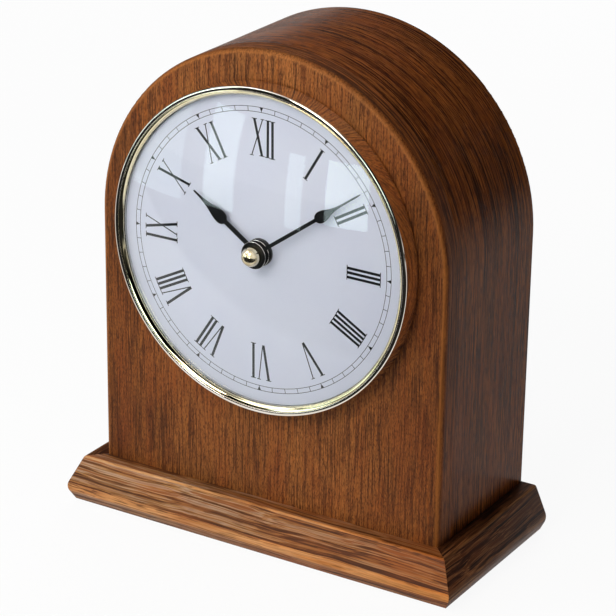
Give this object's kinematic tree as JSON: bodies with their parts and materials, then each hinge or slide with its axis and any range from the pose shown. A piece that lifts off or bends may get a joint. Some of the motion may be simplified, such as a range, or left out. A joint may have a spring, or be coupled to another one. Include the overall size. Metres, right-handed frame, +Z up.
{
  "type": "wooden desk clock",
  "caption": "Arched wooden desk clock with a moulded plinth, a domed glass over a Roman dial and a battery quartz movement set from behind.",
  "frame": {"origin": "on the surface that the clock stands on, under the middle of its bounding box", "axes": "+Z up, +Y towards the back of the clock, +X to the right of someone who reads the dial"},
  "size_m": [0.1786, 0.088, 0.204],
  "materials": {
    "front_veneer": "stained open-grained veneer, satin lacquer",
    "case_veneer": "stained open-grained veneer, satin lacquer",
    "plinth_wood": "stained solid hardwood moulding, satin lacquer",
    "inner_wood": "bare plywood and softwood",
    "back_wood": "stained plywood",
    "felt": "dark felt",
    "screw_steel": "zinc plated",
    "gilt_metal": "polished pale gilt",
    "silver_metal": "polished bright metal",
    "clear_glass": "clear domed glass",
    "dial_white": "satin white print on aluminium",
    "pan_metal": "pressed sheet",
    "black_metal": "satin black",
    "turned_brass": "turned and polished",
    "black_rubber": "moulded",
    "black_plastic": "moulded, fine texture",
    "white_plastic": "moulded",
    "battery_jacket": "plain jacket",
    "contact_metal": "nickel plated spring strip",
    "circuit_laminate": "resin laminate",
    "copper_winding": "enamelled copper wire"
  },
  "bodies": {
    "case": {"front_panel": "front_veneer", "case_shell": "case_veneer", "back_board": "back_wood", "bottom_board": "inner_wood", "glue_block_left": "inner_wood", "glue_block_right": "inner_wood", "plinth_front": "plinth_wood", "plinth_left": "plinth_wood", "plinth_right": "plinth_wood", "plinth_rail": "plinth_wood", "plinth_board": "inner_wood", "felt_pads": "felt", "back_screws": "screw_steel", "case_screws": "screw_steel", "pan_screws": "screw_steel", "bezel": "gilt_metal", "glass": "clear_glass", "glass_ring": "silver_metal", "dial_plate": "dial_white", "dial_pan": "pan_metal", "rubber_washer": "black_rubber", "fixing_nut": "black_metal", "threaded_bush": "turned_brass", "movement_cover": "black_plastic", "movement_case": "black_plastic", "plus_contact": "contact_metal", "minus_contact": "contact_metal", "circuit_board": "circuit_laminate", "coil": "copper_winding", "crystal": "contact_metal"},
    "minute": {"minute_arbor": "turned_brass", "minute_hand": "black_metal", "cap_nut": "turned_brass"},
    "hour": {"hour_wheel": "white_plastic", "hour_hand": "black_metal"},
    "motion": {"motion_wheel": "white_plastic"},
    "setter": {"setting_pinion": "white_plastic", "setting_knob": "black_plastic"},
    "cell": {"battery": "battery_jacket"}
  },
  "joints": [
    {"name": "minute_turn", "type": "hinge", "parent": "case", "child": "minute", "pos_m": [0, -0.026, 0.1265], "axis": [0, 1, 0], "continuous": true},
    {"name": "hour_turn", "type": "hinge", "parent": "case", "child": "hour", "pos_m": [0, -0.026, 0.1265], "axis": [0, 1, 0], "continuous": true},
    {"name": "motion_turn", "type": "hinge", "parent": "case", "child": "motion", "pos_m": [0.00849, -0.026, 0.13499], "axis": [0, 1, 0], "continuous": true},
    {"name": "setter_turn", "type": "hinge", "parent": "case", "child": "setter", "pos_m": [0.00849, -0.026, 0.14699], "axis": [0, 1, 0], "continuous": true},
    {"name": "cell_slide", "type": "slide", "parent": "case", "child": "cell", "axis": [0, 1, 0], "range_m": [0, 0.016]}
  ],
  "couplings": [
    {"joint": "hour_turn", "follows": "minute_turn", "ratio": 0.083333},
    {"joint": "motion_turn", "follows": "minute_turn", "ratio": -0.33333},
    {"joint": "setter_turn", "follows": "minute_turn", "ratio": 1}
  ]
}
